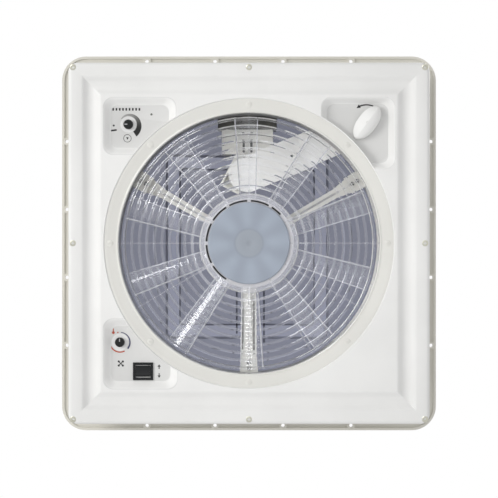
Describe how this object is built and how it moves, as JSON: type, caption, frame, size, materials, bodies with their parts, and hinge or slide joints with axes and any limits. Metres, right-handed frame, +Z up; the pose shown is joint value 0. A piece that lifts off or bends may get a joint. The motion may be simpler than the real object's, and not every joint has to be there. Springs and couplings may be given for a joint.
{
  "type": "roof vent",
  "caption": "Powered square roof vent: smoked hinged dome lifted by a crank, ceiling frame with controls, and a ducted clear fan behind a round guard.",
  "frame": {"origin": "centre of the roof opening, on the roof's outer surface", "axes": "+Z up through the dome, -Y to the dome's opening edge, +Y to its hinge, X along the hinge"},
  "size_m": [0.465, 0.465, 0.143],
  "materials": {
    "white_plastic": "moulded white plastic with a soft sheen",
    "cream_plastic": "moulded off-white plastic",
    "clear_plastic": "clear moulded plastic",
    "frosted_plastic": "frosted clear plastic",
    "smoked_plastic": "smoked blue-grey translucent plastic",
    "black_plastic": "black plastic",
    "black_rubber": "soft black rubber",
    "steel": "zinc plated steel",
    "brass": "brass",
    "board": "green circuit board",
    "led_plastic": "diffused clear plastic"
  },
  "bodies": {
    "frame": {"roof_frame": "white_plastic", "dome_seal": "black_rubber", "hinge_pins": "steel", "ceiling_frame": "white_plastic", "frame_screws": "steel", "fan_duct": "white_plastic", "guard_ring": "cream_plastic", "fan_guard": "clear_plastic", "guard_cap": "frosted_plastic", "guard_screws": "cream_plastic", "motor_spider": "cream_plastic", "spider_screws": "steel", "motor": "steel", "motor_screws": "steel", "speed_pot": "steel", "thermostat_pot": "steel", "switch_body": "black_plastic", "switch_terminals": "brass", "status_led": "led_plastic", "control_board": "board", "board_screws": "steel", "supply_terminal": "board", "gear_bracket": "white_plastic", "bracket_screws": "steel", "arm_pin": "steel"},
    "fan": {"motor_shaft": "steel", "fan_rotor": "clear_plastic", "fan_nut": "steel"},
    "speed_dial": {"speed_knob": "black_plastic"},
    "thermostat_dial": {"thermostat_knob": "black_plastic"},
    "rocker": {"switch_rocker": "black_plastic"},
    "crank": {"lift_knob": "white_plastic", "knob_screw": "steel", "crank_shaft": "steel", "lift_worm": "brass"},
    "arm": {"lift_arm": "white_plastic", "lift_ball": "cream_plastic"},
    "dome": {"dome_shell": "smoked_plastic", "dome_hanger": "cream_plastic", "hanger_shield": "black_plastic", "hanger_screws": "steel", "hinge_leaves": "white_plastic", "leaf_screws": "steel"}
  },
  "joints": [
    {"name": "dome_hinge", "type": "hinge", "parent": "frame", "child": "dome", "pos_m": [0, 0.225, 0.016], "axis": [-1, 0, 0], "range_deg": [0, 18]},
    {"name": "arm_swing", "type": "hinge", "parent": "frame", "child": "arm", "pos_m": [0.1154, -0.13484, 0.046], "axis": [0.3857, 0.9226, 0], "range_deg": [0, 40]},
    {"name": "crank_turn", "type": "hinge", "parent": "frame", "child": "crank", "pos_m": [0.144, -0.1468, -0.04], "axis": [0, 0, 1], "range_deg": [0, 1270]},
    {"name": "fan_spin", "type": "hinge", "parent": "frame", "child": "fan", "pos_m": [0, 0, -0.032], "axis": [0, 0, 1], "continuous": true},
    {"name": "speed_turn", "type": "hinge", "parent": "frame", "child": "speed_dial", "pos_m": [-0.1471, -0.1448, -0.044], "axis": [0, 0, 1], "range_deg": [0, 235]},
    {"name": "thermostat_turn", "type": "hinge", "parent": "frame", "child": "thermostat_dial", "pos_m": [-0.1574, 0.1206, -0.044], "axis": [0, 0, 1], "range_deg": [-140, 130]},
    {"name": "rocker_tilt", "type": "hinge", "parent": "frame", "child": "rocker", "pos_m": [-0.1292, 0.1561, -0.042], "axis": [1, 0, 0], "range_deg": [0, 20]}
  ],
  "couplings": [
    {"joint": "arm_swing", "follows": "dome_hinge", "ratio": 2.2},
    {"joint": "crank_turn", "follows": "dome_hinge", "ratio": 70.4}
  ]
}
